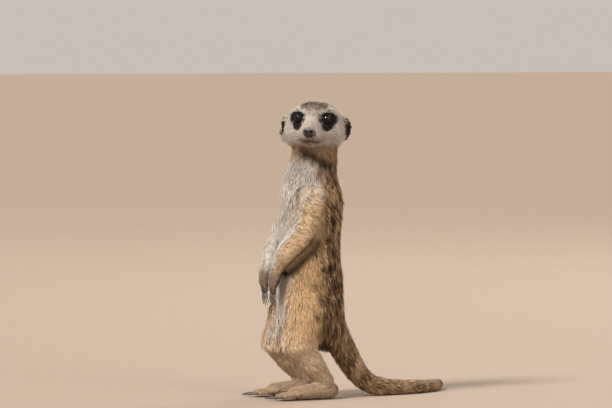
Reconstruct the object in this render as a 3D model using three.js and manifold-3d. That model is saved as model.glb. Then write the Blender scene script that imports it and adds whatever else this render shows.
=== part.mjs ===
// A meerkat standing upright on its hind feet and tail, looking round over its left shoulder.
// Life size, in millimetres: +Z up, the chest towards -Y, the animal's left side towards +X.
// Every surface is the outside of the coat. Flesh is described by signed distances that are negative
// inside, and each piece is skinned by rays cast from a line that runs along its middle.
import * as THREE from "three";
import Module from "manifold-3d";
import { mergeVertices } from "three/addons/utils/BufferGeometryUtils.js";

const wasm = await Module();
wasm.setup();

// ---------------------------------------------------------------- driving dimensions

const GAP = 0.35; // clearance between two pieces that touch
const SIDES = [
  ["left", 1],
  ["right", -1],
];

// Trunk: height above the floor, then the front, the back and the half width of the coat there.
const TRUNK_LEVELS = [
  [44, -6, 30, 20],
  [52, -16, 33, 25],
  [63, -26, 33, 29.5],
  [78, -31.5, 31.5, 32.5],
  [95, -33.5, 30.4, 33],
  [112, -33, 30, 32],
  [130, -33, 27.6, 30.5],
  [148, -31, 27.8, 28.5],
  [166, -30, 30, 27],
  [182, -29.5, 31.6, 26],
  [193, -29, 29.6, 24.5],
  [203, -27, 26.2, 22.5],
  [214, -23, 22.5, 20],
];
const TRUNK_LINE = [
  [0, 11, 62],
  [0, 0, 95],
  [0, -3, 140],
  [0, 0, 190],
  [2, 2, 226],
];
const CROTCH_HEIGHT = 43;
const NECK_CUT_HEIGHT = 206;

// Neck: it leans a little towards the side that the head looks to.
const NECK = [
  { at: [1, 1.4, 212], radius: 20.8 },
  { at: [3.6, 2.4, 224], radius: 20 },
  { at: [4.8, 3, 234], radius: 20.4 },
];

// Head: its own frame faces -Y, with its origin in the middle of the skull between the ears.
const HEAD_AT = [4.6, 2, 252];
const HEAD_TURN = 60; // degrees towards the animal's left
const HEAD_ROLL = 2; // degrees, left ear down
const CRANIUM = { at: [0, 5, 3.4], size: [22, 24, 19.4] };
const TEMPLE = { at: [12, 4, 8.5], size: [11.2, 16, 10.5] };
const CHEEK = { at: [13, -1, -7], size: [13.6, 16.5, 12.4] };
const THROAT = { at: [0, -3, -11], size: [14, 19, 8.5] };
const BROW = { at: [10.5, -13.5, 14.4], size: [8.5, 7, 4.6] };
const BRIDGE = { from: [0, -16, 2], to: [0, -38.5, -4], radii: [12, 7] };
const CHIN = { from: [0, -12, -10.5], to: [0, -33, -12.2], radii: [8.5, 5] };
const LIP = { at: [5.4, -34.5, -7], size: [6, 8, 4.8], turn: 14 };
const ORBIT = { at: [15, -24.8, 8.4], size: [7.5, 6, 5.6], turn: 26 };
const HEAD_LINE = [
  [0, 9, 0],
  [0, -8, -1],
  [0, -20, -3],
  [0, -38, -6.2],
];
const EYE = { at: [12.6, -16.1, 8.2], radius: 5 };
const NOSE = { at: [0, -44.6, -3.7], size: [5.9, 3.8, 4.6] };
const NOSTRIL = { at: [2.8, -48.2, -3.9], size: [1.3, 1.6, 1.2] };
const EAR = { at: [26.6, 5.5, -0.5], size: [8, 2.6, 11], sweep: 36 }; // sweep in degrees, tip backwards
const EAR_CUP = { forward: 3.1, outward: 0.6, size: [5.4, 2.3, 7.6] };

// Arms: the joints of each, as the two hang a little differently.
const SHOULDER = { at: [16.5, -4, 187], radius: 13.2 };
const ELBOW = { at: [25, -18.6, 152], radius: 12 };
const WRIST = { at: [12, -41, 118], radius: 5.6 };
const PALM = { at: [10.6, -42.4, 108], radius: 5.2 };
const FOREARM = {
  left: { at: [21, -34.5, 136], radius: 10 },
  right: { at: [20.5, -30.5, 135], radius: 9.6 },
};
const FINGER = { radius: 2, length: 8.5, spacing: 2.2, fan: 0.34, droop: [0, 1, -0.1] };
const HAND_CLAW = { radius: 1.05, length: 10.5, hook: 2.6 };

// Leg: joints of the left leg, mirrored for the right.
const HAUNCH = { at: [18.5, -7, 82], size: [16.5, 29, 30], radius: 15 };
const KNEE = { at: [25, -26, 53], radius: 14 };
const CALF = { at: [25, -12, 36], radius: 12 };
const ANKLE = { at: [24, 5, 16], radius: 8.6 };
const HAUNCH_OVAL = { at: [-8, 77], radii: [34, 34], inner: 12, outer: 60 };
const HEEL = { at: [23.5, 9, 8.2], halfWidth: 8.4, halfHeight: 8.6 };
const BALL = { at: [27, -27, 6], halfWidth: 11, halfHeight: 6.4 };
const INSTEP_RADIUS = 4.5;
const TOE = { radius: 3.5, length: 13, spacing: 4.2, fan: 0.34, droop: [0, 0, -0.45] };
const TOE_ROOT = { ahead: 5, height: 4.2 };
const FOOT_CLAW = { radius: 1.3, length: 10, hook: 2.6 };

// Tail: down from the rump, then along the floor and round to the right.
const TAIL_LINE = [
  [0, 19, 70],
  [0, 30.5, 48],
  [0, 43, 27],
  [0, 59, 11.5],
  [-2, 79, 7.3],
  [-9, 105, 6.5],
  [-25, 132, 5.7],
  [-50, 152, 4.9],
  [-77, 161, 4.1],
];
const TAIL_RADIUS = [14, 13, 11.2, 9.4, 8, 7.1, 6.2, 5.3, 4.4];
const TAIL_CUTS = [0.36, 0.7]; // shares of its length where it is divided
const TAIL_RING_SPACING = 10;

// ---------------------------------------------------------------- signed distances

const vec = (a) => new THREE.Vector3(...a);
const mirrored = (a, side) => [a[0] * side, a[1], a[2]];
const pair = (make) => SIDES.map(([, side]) => make(side));

/** A segment whose radius changes evenly from one end to the other. */
function bone(from, to, radiusFrom, radiusTo) {
  const a = vec(from);
  const along = vec(to).sub(a);
  const lengthSq = along.lengthSq();
  const offset = new THREE.Vector3();
  return (p) => {
    offset.subVectors(p, a);
    const t = THREE.MathUtils.clamp(offset.dot(along) / lengthSq, 0, 1);
    return offset.addScaledVector(along, -t).length() - THREE.MathUtils.lerp(radiusFrom, radiusTo, t);
  };
}

/** An ellipsoid, turned about Z by so many degrees. */
function ellipsoid(at, radii, turn = 0) {
  const centre = vec(at);
  const size = vec(radii);
  const least = Math.min(...radii);
  const back = -THREE.MathUtils.degToRad(turn);
  const axis = new THREE.Vector3(0, 0, 1);
  const offset = new THREE.Vector3();
  return (p) => {
    offset.subVectors(p, centre).applyAxisAngle(axis, back).divide(size);
    return (offset.length() - 1) * least;
  };
}

/** Several forms run into each other over a distance k. */
function blend(k, ...fields) {
  return (p) =>
    fields.reduce((sum, field) => {
      const d = field(p);
      const h = Math.max(k - Math.abs(sum - d), 0) / k;
      return Math.min(sum, d) - (h * h * k) / 4;
    }, 1e3);
}

/** The first form with the others taken out of it, with an edge rounded over k. */
function dent(k, field, ...hollows) {
  return (p) =>
    hollows.reduce((sum, hollow) => {
      const d = -hollow(p);
      const h = Math.max(k - Math.abs(sum - d), 0) / k;
      return Math.max(sum, d) + (h * h * k) / 4;
    }, field(p));
}

const grown = (field, by) => (p) => field(p) - by;

/** A chain of joints as one limb. */
function limb(joints, side, k) {
  const bones = [];
  for (let i = 1; i < joints.length; i++) {
    const [a, b] = [joints[i - 1], joints[i]];
    bones.push(bone(mirrored(a.at, side), mirrored(b.at, side), a.radius, b.radius));
  }
  return blend(k, ...bones);
}

// ---------------------------------------------------------------- skinning

/**
 * A closed skin round a line: rings of rays square to it, and a fan of rays over each end.
 * reach(origin, direction, t) is how far the surface lies along a ray that starts on the line at t.
 */
function skin(line, reach, { sides, rings, caps = 3, up = [0, 1, 0] }) {
  const rows = [];
  const upward = vec(up);
  for (let i = -caps; i <= rings + caps; i++) {
    const t = THREE.MathUtils.clamp(i / rings, 0, 1);
    const over = i < 0 ? i : Math.max(i - rings, 0);
    const tilt = ((over / caps) * Math.PI) / 2;
    const origin = line.getPointAt(t);
    const tangent = line.getTangentAt(t);
    const across = new THREE.Vector3().crossVectors(upward, tangent).normalize();
    const outward = new THREE.Vector3().crossVectors(tangent, across);
    const row = [];
    const count = Math.abs(over) === caps ? 1 : sides;
    for (let k = 0; k < count; k++) {
      const angle = (k / sides) * 2 * Math.PI;
      const direction = new THREE.Vector3()
        .addScaledVector(across, Math.cos(angle) * Math.cos(tilt))
        .addScaledVector(outward, Math.sin(angle) * Math.cos(tilt))
        .addScaledVector(tangent, Math.sin(tilt))
        .normalize();
      row.push(origin.clone().addScaledVector(direction, reach(origin, direction, t)));
    }
    rows.push(row);
  }
  const places = [];
  const starts = [];
  for (const row of rows) {
    starts.push(places.length / 3);
    row.forEach((p) => places.push(p.x, p.y, p.z));
  }
  const faces = [];
  for (let i = 1; i < rows.length; i++) {
    const at = (r, k) => starts[r] + (k % rows[r].length);
    for (let k = 0; k < sides; k++) {
      const [a, b, c, d] = [at(i - 1, k), at(i - 1, k + 1), at(i, k + 1), at(i, k)];
      if (a !== b) faces.push(a, b, c);
      if (c !== d) faces.push(a, c, d);
    }
  }
  const geometry = new THREE.BufferGeometry();
  geometry.setAttribute("position", new THREE.Float32BufferAttribute(places, 3));
  geometry.setIndex(faces);
  return geometry;
}

/** The reach of a signed distance: where a ray leaves it, found by halving. */
function surfaceOf(field, furthest) {
  const p = new THREE.Vector3();
  return (origin, direction) => {
    let [near, far] = [0, furthest];
    for (let step = 0; step < 30; step++) {
      const middle = (near + far) / 2;
      if (field(p.copy(origin).addScaledVector(direction, middle)) < 0) near = middle;
      else far = middle;
    }
    return near;
  };
}

const lineThrough = (points) => new THREE.CatmullRomCurve3(points.map(vec), false, "centripetal");

/** Turns a geometry into a solid for cutting, placed by a matrix where one is given. */
function solid(geometry, matrix = new THREE.Matrix4()) {
  const bare = new THREE.BufferGeometry();
  bare.setAttribute("position", geometry.getAttribute("position").clone());
  if (geometry.index) bare.setIndex(geometry.index.clone());
  const merged = mergeVertices(bare.applyMatrix4(matrix), 1e-3);
  return new wasm.Manifold(
    new wasm.Mesh({
      numProp: 3,
      vertProperties: merged.attributes.position.array,
      triVerts: new Uint32Array(merged.index.array),
    }),
  );
}

function geometryOf(manifold) {
  const mesh = manifold.getMesh();
  const geometry = new THREE.BufferGeometry();
  geometry.setAttribute("position", new THREE.BufferAttribute(new Float32Array(mesh.vertProperties), 3));
  geometry.setIndex(new THREE.BufferAttribute(new Uint32Array(mesh.triVerts), 1));
  geometry.computeVertexNormals();
  return geometry;
}

/** Everything between two heights. */
function slab(low, high) {
  const width = 1000;
  const box = new THREE.BoxGeometry(width, width, high - low);
  return solid(box.translate(0, 0, (low + high) / 2));
}
const aboveFloor = slab(0, 400);

/** The largest piece of a solid, without the crumbs that a cut may leave. */
function mainPiece(manifold) {
  return manifold.decompose().sort((a, b) => b.volume() - a.volume())[0];
}

// ---------------------------------------------------------------- materials

const coat = (colour) => new THREE.MeshStandardMaterial({ color: colour, roughness: 0.92, metalness: 0 });
const finish = {
  back: coat("#7f6049"),
  flank: coat("#c29d76"),
  pale: coat("#c5bcb1"),
  neck: coat("#ada394"),
  face: coat("#c2b8ad"),
  ear: coat("#2a211b"),
  hand: coat("#8d7f70"),
  tailEnd: coat("#2f2119"),
  claw: new THREE.MeshStandardMaterial({ color: "#2b2623", roughness: 0.4, metalness: 0 }),
  nose: new THREE.MeshStandardMaterial({ color: "#1f1a1a", roughness: 0.45, metalness: 0 }),
  eye: new THREE.MeshStandardMaterial({ color: "#15100c", roughness: 0.06, metalness: 0 }),
};

const meerkat = new THREE.Group();

function place(name, manifoldOrGeometry, material, parent = meerkat) {
  const isGeometry = manifoldOrGeometry.isBufferGeometry;
  const mesh = new THREE.Mesh(isGeometry ? manifoldOrGeometry : geometryOf(manifoldOrGeometry), material);
  mesh.name = name;
  parent.add(mesh);
  return mesh;
}

// ---------------------------------------------------------------- trunk and neck

const levels = TRUNK_LEVELS.map(([z]) => z);
const girths = new THREE.CubicInterpolant(levels, TRUNK_LEVELS.flatMap(([, ...girth]) => girth), 3);

function trunkField(p) {
  const z = THREE.MathUtils.clamp(p.z, levels[0], levels[levels.length - 1]);
  const [front, back, half] = girths.evaluate(z);
  const depth = (back - front) / 2;
  const round = Math.hypot(p.x / half, (p.y - (front + back) / 2) / depth);
  return (round - 1) * Math.min(half, depth);
}

const neckField = limb(NECK, 1, 6);
const belowCrotch = (p) => p.z - CROTCH_HEIGHT;
const aboveShoulders = (p) => levels[levels.length - 1] - p.z;
const bodyField = blend(10, dent(18, trunkField, belowCrotch, aboveShoulders), neckField);
const bodyLine = lineThrough(TRUNK_LINE);
const bodyDetail = { sides: 19, rings: 16, caps: 3 };
const body = solid(skin(bodyLine, surfaceOf(bodyField, 90), bodyDetail));
const bodyClear = solid(skin(bodyLine, surfaceOf(grown(bodyField, GAP), 90), bodyDetail));

/** The upright oval in the flank that marks off a haunch, from near the middle outwards. */
function haunchRoom(side, by = 0) {
  const { at, radii, inner, outer } = HAUNCH_OVAL;
  const drum = new THREE.CylinderGeometry(1, 1, outer - inner + by, 22).rotateZ(Math.PI / 2);
  drum.scale(1, radii[0] + by, radii[1] + by);
  return solid(drum.translate((side * (inner + outer - by)) / 2, ...at));
}

const haunches = pair((side) => haunchRoom(side, GAP)).reduce((all, room) => all.add(room));
place("trunk", mainPiece(body.intersect(slab(0, NECK_CUT_HEIGHT - GAP)).subtract(haunches)), finish.flank);

// ---------------------------------------------------------------- head

const headFrame = new THREE.Group();
headFrame.position.set(...HEAD_AT);
headFrame.rotation.set(0, THREE.MathUtils.degToRad(HEAD_ROLL), THREE.MathUtils.degToRad(HEAD_TURN), "ZXY");
headFrame.updateMatrix();
meerkat.add(headFrame);

const lump = ({ at, size, turn = 0 }, side = 1) => ellipsoid(mirrored(at, side), size, turn * side);
const shaft = ({ from, to, radii }) => bone(from, to, ...radii);
const bothOf = (part) => pair((side) => lump(part, side));
const skullField = blend(9, lump(CRANIUM), lump(THROAT), ...[TEMPLE, CHEEK, BROW].flatMap(bothOf));
const muzzleField = blend(5, shaft(BRIDGE), shaft(CHIN), ...bothOf(LIP));
const headField = dent(6, blend(9, skullField, muzzleField), ...bothOf(ORBIT));
const headDetail = { sides: 22, rings: 12, caps: 3, up: [0, 0, 1] };
const headSkin = (field) => skin(lineThrough(HEAD_LINE), surfaceOf(field, 60), headDetail);

const noseField = lump(NOSE);
const noseEnds = pair((side) => [NOSE.size[0] * 0.45 * side, NOSE.at[1], NOSE.at[2]]).reverse();
const noseDetail = { sides: 12, rings: 4, caps: 2 };
const noseSkin = (field) => skin(lineThrough(noseEnds), surfaceOf(field, 12), noseDetail);

/** A rounded ear: a plate that is cupped on the side that faces forwards and out. */
function earSkin(side, by = 0) {
  const sweep = THREE.MathUtils.degToRad(EAR.sweep);
  const outward = new THREE.Vector3(Math.cos(sweep) * side, Math.sin(sweep), 0);
  const forward = new THREE.Vector3(Math.sin(sweep) * side, -Math.cos(sweep), 0);
  const centre = vec(mirrored(EAR.at, side));
  const cupAt = centre.clone().addScaledVector(forward, EAR_CUP.forward);
  cupAt.addScaledVector(outward, EAR_CUP.outward);
  const plate = ellipsoid(centre.toArray(), EAR.size, EAR.sweep * side);
  const cup = ellipsoid(cupAt.toArray(), EAR_CUP.size, EAR.sweep * side);
  const low = centre.clone().addScaledVector(forward, -EAR.size[1] / 3);
  const high = low.clone();
  low.z -= EAR.size[2] * 0.6;
  high.z += EAR.size[2] * 0.6;
  const field = grown(dent(1.2, plate, cup), by);
  return skin(new THREE.LineCurve3(low, high), surfaceOf(field, 16), { sides: 12, rings: 5, caps: 2 });
}

const ball = (radius, side) => {
  const sphere = new THREE.IcosahedronGeometry(radius, 2);
  return sphere.translate(...mirrored(EYE.at, side));
};
let head = solid(headSkin(headField)).subtract(solid(noseSkin(grown(noseField, GAP))));
for (const [name, side] of SIDES) {
  head = head.subtract(solid(ball(EYE.radius + GAP, side))).subtract(solid(earSkin(side, GAP)));
  place("eye_" + name, ball(EYE.radius, side), finish.eye, headFrame);
  place("ear_" + name, earSkin(side), finish.ear, headFrame);
}
place("head", mainPiece(head), finish.face, headFrame);
place("nose", noseSkin(dent(0.8, noseField, ...bothOf(NOSTRIL))), finish.nose, headFrame);

const headClear = solid(headSkin(grown(headField, GAP)), headFrame.matrix);
const aboveTrunk = slab(NECK_CUT_HEIGHT, 300);
place("neck", mainPiece(body.intersect(aboveTrunk).subtract(headClear)), finish.neck);

// ---------------------------------------------------------------- fingers, toes and claws

/**
 * Places the claws of one paw. Returns the paw joined to four digits that fan out from a root, with
 * room made for the claws.
 */
function withDigits(paw, root, forward, across, digit, claw, clawName) {
  const down = vec(digit.droop);
  let joined = paw;
  for (let i = 0; i < 4; i++) {
    const offset = i - 1.5;
    const start = root.clone().addScaledVector(across, offset * digit.spacing);
    const aim = forward.clone().addScaledVector(across, (offset * digit.fan) / 3).normalize();
    const reach = digit.length * (1 - 0.08 * offset * offset);
    const tip = start.clone().addScaledVector(aim, reach).addScaledVector(down, reach * 0.16);
    const knuckle = start.clone().lerp(tip, 0.5).addScaledVector(down, -reach * 0.07);
    const digitLine = new THREE.QuadraticBezierCurve3(start, knuckle, tip);
    const clawRoot = tip.clone().addScaledVector(aim, digit.radius * 0.62);
    const clawTip = clawRoot.clone().addScaledVector(aim, claw.length).addScaledVector(down, claw.hook);
    const arch = clawRoot.clone().lerp(clawTip, 0.55).addScaledVector(down, -claw.hook * 0.75);
    const clawLine = new THREE.QuadraticBezierCurve3(clawRoot, arch, clawTip);
    const up = across.toArray();
    const plump = (origin, direction, t) => digit.radius * (1.06 - 0.2 * t);
    const sharp = (origin, direction, t) => claw.radius * (1 - 0.78 * t);
    const room = (origin, direction, t) => sharp(origin, direction, t) + GAP;
    const clawDetail = { sides: 5, rings: 2, caps: 1, up };
    joined = joined.add(solid(skin(digitLine, plump, { sides: 5, rings: 2, caps: 1, up })));
    joined = joined.subtract(solid(skin(clawLine, room, clawDetail)));
    place(clawName + (i + 1), skin(clawLine, sharp, clawDetail), finish.claw);
  }
  return joined;
}

// ---------------------------------------------------------------- arms

/** All that lies beyond a joint in one direction, starting half a gap before it. */
function beyond(joint, direction, side) {
  const size = 200;
  const box = new THREE.BoxGeometry(size, size, size).translate(0, 0, (size - GAP) / 2);
  const upward = new THREE.Vector3(0, 0, 1);
  const turn = new THREE.Quaternion().setFromUnitVectors(upward, direction.clone().normalize());
  const matrix = new THREE.Matrix4().compose(vec(mirrored(joint, side)), turn, new THREE.Vector3(1, 1, 1));
  return solid(box, matrix);
}

for (const [name, side] of SIDES) {
  const lowerArm = [ELBOW, FOREARM[name], WRIST];
  const point = (joint) => vec(mirrored(joint.at, side));
  const way = (from, to) => point(to).sub(point(from)).normalize();
  const upperLine = new THREE.LineCurve3(point(SHOULDER), point(ELBOW));
  const lowerLine = lineThrough(lowerArm.map((joint) => mirrored(joint.at, side)));
  const detail = { sides: 10, rings: 4, caps: 2, up: [1, 0, 0] };
  const upper = solid(skin(upperLine, surfaceOf(limb([SHOULDER, ELBOW], side, 1), 40), detail));
  const lower = solid(skin(lowerLine, surfaceOf(limb(lowerArm, side, 4), 40), { ...detail, rings: 5 }));
  const arm = upper.add(lower).subtract(bodyClear);
  const bend = way(SHOULDER, ELBOW).add(way(ELBOW, FOREARM[name]));
  const wristWay = way(FOREARM[name], PALM);
  place("upper_arm_" + name, mainPiece(arm.subtract(beyond(ELBOW.at, bend, side))), finish.pale);
  const belowElbow = arm.subtract(beyond(ELBOW.at, bend.negate(), side));
  place("forearm_" + name, mainPiece(belowElbow.subtract(beyond(WRIST.at, wristWay, side))), finish.flank);

  const palmLine = new THREE.LineCurve3(point(WRIST), point(PALM));
  const palm = solid(skin(palmLine, surfaceOf(limb([WRIST, PALM], side, 1), 20), { ...detail, rings: 2 }));
  const forward = way(WRIST, PALM);
  const across = new THREE.Vector3(1, 0, 0).addScaledVector(forward, -forward.x).normalize();
  const root = point(PALM).addScaledVector(forward, PALM.radius * 0.35);
  const wrist = palm.subtract(beyond(WRIST.at, wristWay.negate(), side));
  const hand = withDigits(wrist, root, forward, across, FINGER, HAND_CLAW, "claw_hand_" + name + "_");
  place("hand_" + name, mainPiece(hand.subtract(bodyClear)), finish.hand);
}

// ---------------------------------------------------------------- legs

for (const [name, side] of SIDES) {
  const point = (joint) => vec(mirrored(joint.at, side));
  const way = (from, to) => point(to).sub(point(from)).normalize();
  const thighDetail = { sides: 12, rings: 3, caps: 3, up: [1, 0, 0] };
  const shankDetail = { sides: 10, rings: 4, caps: 2, up: [1, 0, 0] };
  const thighField = blend(9, lump(HAUNCH, side), limb([HAUNCH, KNEE], side, 1));
  const shankField = limb([KNEE, CALF, ANKLE], side, 5);
  const shankLine = lineThrough([KNEE, CALF, ANKLE].map((joint) => mirrored(joint.at, side)));
  const shankSkin = (field) => solid(skin(shankLine, surfaceOf(field, 40), shankDetail));
  const thighLine = new THREE.LineCurve3(point(HAUNCH), point(KNEE));
  const leg = solid(skin(thighLine, surfaceOf(thighField, 60), thighDetail)).add(shankSkin(shankField));
  const room = haunchRoom(side);
  const bend = way(HAUNCH, KNEE).add(way(KNEE, CALF));
  const thigh = leg.subtract(beyond(KNEE.at, bend, side)).add(body.intersect(room));
  place("thigh_" + name, mainPiece(thigh.subtract(bodyClear.subtract(room))), finish.flank);
  const ankleWay = way(CALF, ANKLE);
  const belowKnee = leg.subtract(beyond(KNEE.at, bend.negate(), side)).subtract(bodyClear);
  place("shank_" + name, mainPiece(belowKnee.subtract(beyond(ANKLE.at, ankleWay, side))), finish.flank);

  const forward = way(HEEL, BALL).setZ(0).normalize();
  const across = new THREE.Vector3(0, 0, 1).cross(forward).negate();
  const soleReach = (origin, direction, t) => {
    const wide = direction.dot(across);
    const halfWidth = THREE.MathUtils.lerp(HEEL.halfWidth, BALL.halfWidth, t);
    const halfHeight = THREE.MathUtils.lerp(HEEL.halfHeight, BALL.halfHeight, t);
    return 1 / Math.hypot(wide / halfWidth, Math.sqrt(Math.max(1 - wide * wide, 0)) / halfHeight);
  };
  const soleLine = new THREE.LineCurve3(point(HEEL), point(BALL));
  const sole = solid(skin(soleLine, soleReach, { sides: 10, rings: 2, caps: 2, up: [0, 0, 1] }));
  const instepLine = new THREE.LineCurve3(point(ANKLE), soleLine.getPoint(0.55));
  const instepReach = (origin, direction, t) => THREE.MathUtils.lerp(ANKLE.radius, INSTEP_RADIUS, t);
  const instep = solid(skin(instepLine, instepReach, { sides: 8, rings: 2, caps: 1 }));
  const aboveAnkle = beyond(ANKLE.at, ankleWay.negate(), side);
  const root = point(BALL).addScaledVector(forward, TOE_ROOT.ahead).setZ(TOE_ROOT.height);
  const bare = sole.add(instep.subtract(aboveAnkle));
  const foot = withDigits(bare, root, forward, across, TOE, FOOT_CLAW, "claw_foot_" + name + "_");
  const shankClear = shankSkin(grown(shankField, GAP)).intersect(aboveAnkle);
  place("foot_" + name, mainPiece(foot.subtract(shankClear).intersect(aboveFloor)), finish.flank);
}

// ---------------------------------------------------------------- tail

const tailLine = lineThrough(TAIL_LINE);
const tailShares = TAIL_RADIUS.map((_, i) => i / (TAIL_RADIUS.length - 1));
const tailRadius = new THREE.CubicInterpolant(tailShares, TAIL_RADIUS, 1);
const tailLength = tailLine.getLength();
const TAIL_PARTS = [
  { name: "tail_base", from: 0, to: TAIL_CUTS[0], material: finish.back },
  { name: "tail_middle", from: TAIL_CUTS[0], to: TAIL_CUTS[1], material: finish.flank },
  { name: "tail_tip", from: TAIL_CUTS[1], to: 1, material: finish.tailEnd },
];
for (const { name, from, to, material } of TAIL_PARTS) {
  const first = from > 0 ? from + GAP / tailLength : 0;
  const share = (t) => THREE.MathUtils.lerp(first, to, t);
  const length = new THREE.Curve();
  length.getPoint = (t) => tailLine.getPointAt(share(t));
  const reach = (origin, direction, t) => {
    const radius = tailRadius.evaluate(share(t))[0];
    const isCut = (t === 0 && from > 0) || (t === 1 && to < 1);
    const leans = Math.abs(length.getTangentAt(t).dot(direction)) > 0.01;
    return isCut && leans ? 0 : radius;
  };
  const rings = Math.round(((to - first) * tailLength) / TAIL_RING_SPACING);
  const piece = solid(skin(length, reach, { sides: 10, rings, caps: 2, up: [1, 0, 0] }));
  place(name, mainPiece(piece.subtract(bodyClear).intersect(aboveFloor)), material);
}

// ---------------------------------------------------------------- origin

// It is moved so that the origin lies on the floor, below the middle of its bounding box.

meerkat.updateMatrixWorld(true);
const extent = new THREE.Box3().setFromObject(meerkat, true);
const middle = extent.getCenter(new THREE.Vector3());
meerkat.position.set(-middle.x, -middle.y, -extent.min.z);
meerkat.updateMatrixWorld(true);

export default meerkat;
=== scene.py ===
import bmesh
import bpy
import numpy as np
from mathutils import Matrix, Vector, kdtree
from mathutils.bvhtree import BVHTree


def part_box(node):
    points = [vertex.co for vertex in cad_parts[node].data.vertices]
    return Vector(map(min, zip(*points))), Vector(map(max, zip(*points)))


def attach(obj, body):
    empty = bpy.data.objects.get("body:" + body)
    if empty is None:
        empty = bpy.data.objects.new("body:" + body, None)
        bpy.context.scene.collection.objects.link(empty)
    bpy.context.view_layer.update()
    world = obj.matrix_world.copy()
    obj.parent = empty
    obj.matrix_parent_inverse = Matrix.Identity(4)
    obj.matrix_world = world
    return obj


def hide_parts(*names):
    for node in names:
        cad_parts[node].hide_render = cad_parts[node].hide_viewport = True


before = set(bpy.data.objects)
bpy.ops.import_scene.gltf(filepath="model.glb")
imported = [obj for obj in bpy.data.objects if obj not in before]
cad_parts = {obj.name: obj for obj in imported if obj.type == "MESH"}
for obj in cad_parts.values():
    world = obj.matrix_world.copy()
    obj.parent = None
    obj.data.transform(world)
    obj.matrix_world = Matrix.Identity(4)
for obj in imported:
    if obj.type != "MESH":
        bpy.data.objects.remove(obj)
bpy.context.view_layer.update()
scene = bpy.context.scene

# ---------------------------------------------------------------- Camera
# A 300 mm lens on a full-frame body, nearly level with the chest and seen from
# the animal's left front, as a museum label would show it.
AIM = Vector((0.01504, -0.05815, 0.1804))
STAND_OFF = 4.743  # metres from the animal
AZIMUTH = np.radians(67)
RISE = np.radians(2.0)
lens = bpy.data.cameras.new("camera")
lens.lens = 300
lens.sensor_width = 36
lens.clip_end = 100
camera = bpy.data.objects.new("camera", lens)
back_off = Vector((np.sin(AZIMUTH) * np.cos(RISE), -np.cos(AZIMUTH) * np.cos(RISE), np.sin(RISE)))
camera.location = AIM + back_off * STAND_OFF
camera.rotation_euler = back_off.to_track_quat("Z", "Y").to_euler()
scene.collection.objects.link(camera)
scene.camera = camera
scene.view_settings.view_transform = "Standard"

# ---------------------------------------------------------------- Skin
# One hide over the whole body, from copies of the flesh solids run together and
# drawn in by the depth of the coat on it. Lids, lips, the groove under the nose
# and the furrows between fingers and between toes are pressed into it.
MM = 0.001
GRID = 1.27  # mm between points of the hide, halved on the head, fingers and toes
SWELL = 0.7  # mm that the copies grow, so that the gaps between them close
flesh = sorted(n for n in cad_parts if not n.startswith(("claw", "eye", "nose")))
PART = {name: i for i, name in enumerate(flesh)}


def points_of(mesh):
    """The mesh's points as rows of millimetres."""
    rows = np.empty(len(mesh.vertices) * 3)
    mesh.vertices.foreach_get("co", rows)
    return rows.reshape(-1, 3) / MM


def place_points(mesh, rows):
    mesh.vertices.foreach_set("co", (rows * MM).astype(np.float32).ravel())
    mesh.update()


def merged_copy(names, swell):
    """Copies of CAD solids with their doubles merged and swollen by some mm, in one mesh."""
    whole = bpy.data.meshes.new("copies")
    joined = bmesh.new()
    for name in names:
        part, loose = bmesh.new(), bpy.data.meshes.new("loose")
        part.from_mesh(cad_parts[name].data)
        bmesh.ops.remove_doubles(part, verts=part.verts, dist=1e-6)
        part.normal_update()
        for v in part.verts:
            v.co += v.normal * swell * MM
        part.to_mesh(loose)
        joined.from_mesh(loose)
        part.free()
        bpy.data.meshes.remove(loose)
    joined.to_mesh(whole)
    joined.free()
    return whole


def applied(obj):
    """Makes the object's modifiers part of its mesh."""
    shaped = bpy.data.meshes.new_from_object(
        obj.evaluated_get(bpy.context.evaluated_depsgraph_get()))
    obj.modifiers.clear()
    obj.data = shaped


def remeshed(name, mesh, size):
    """A new object of the mesh, with an even grid of points some mm apart."""
    obj = bpy.data.objects.new(name, mesh)
    scene.collection.objects.link(obj)
    grid = obj.modifiers.new("grid", "REMESH")
    grid.mode, grid.voxel_size, grid.use_smooth_shade = "VOXEL", size * MM, True
    applied(obj)
    return obj


def edges_of(mesh):
    pairs = np.empty(len(mesh.edges) * 2, int)
    mesh.edges.foreach_get("vertices", pairs)
    return pairs.reshape(-1, 2)


def relaxed(values, edges, share, rounds):
    """Each row moves by share towards the mean of its neighbours, so many times."""
    a, b, n = edges[:, 0], edges[:, 1], len(values)
    degree = np.maximum(np.bincount(edges.ravel(), minlength=n), 1)[:, None]
    for _ in range(rounds):
        around = np.stack([np.bincount(a, values[b, k], n) + np.bincount(b, values[a, k], n)
                           for k in range(values.shape[1])], 1)
        values = values + share * (around / degree - values)
    return values


def normals_of(mesh):
    rows = np.empty(len(mesh.vertices) * 3)
    mesh.vertex_normals.foreach_get("vector", rows)
    return rows.reshape(-1, 3)


def unit(rows):
    return rows / np.maximum(np.linalg.norm(rows, axis=-1, keepdims=True), 1e-9)


def ramp(x, low, high):
    """0 below low, 1 above high and a smooth turn between them."""
    t = np.clip((x - low) / (high - low), 0, 1)
    return t * t * (3 - 2 * t)


def fall(x, low, high):
    """1 below low, 0 above high and a smooth turn between them."""
    return ramp(-x, -high, -low)


def hump(x, width):
    """1 at 0, falling off smoothly within some width to both sides."""
    return np.exp(-(x / width) ** 2)


def keep_largest(shape):
    """Deletes all but the largest connected surface, as small gaps leave walls of their own."""
    bits, seen = [], set()
    for first in shape.verts:
        if first.index in seen:
            continue
        pile, bit = [first], []
        seen.add(first.index)
        while pile:
            v = pile.pop()
            bit.append(v)
            for edge in v.link_edges:
                other = edge.other_vert(v)
                if other.index not in seen:
                    seen.add(other.index)
                    pile.append(other)
        bits.append(bit)
    bits.sort(key=len)
    for bit in bits[:-1]:
        bmesh.ops.delete(shape, geom=bit, context="VERTS")
    shape.verts.index_update()


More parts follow.
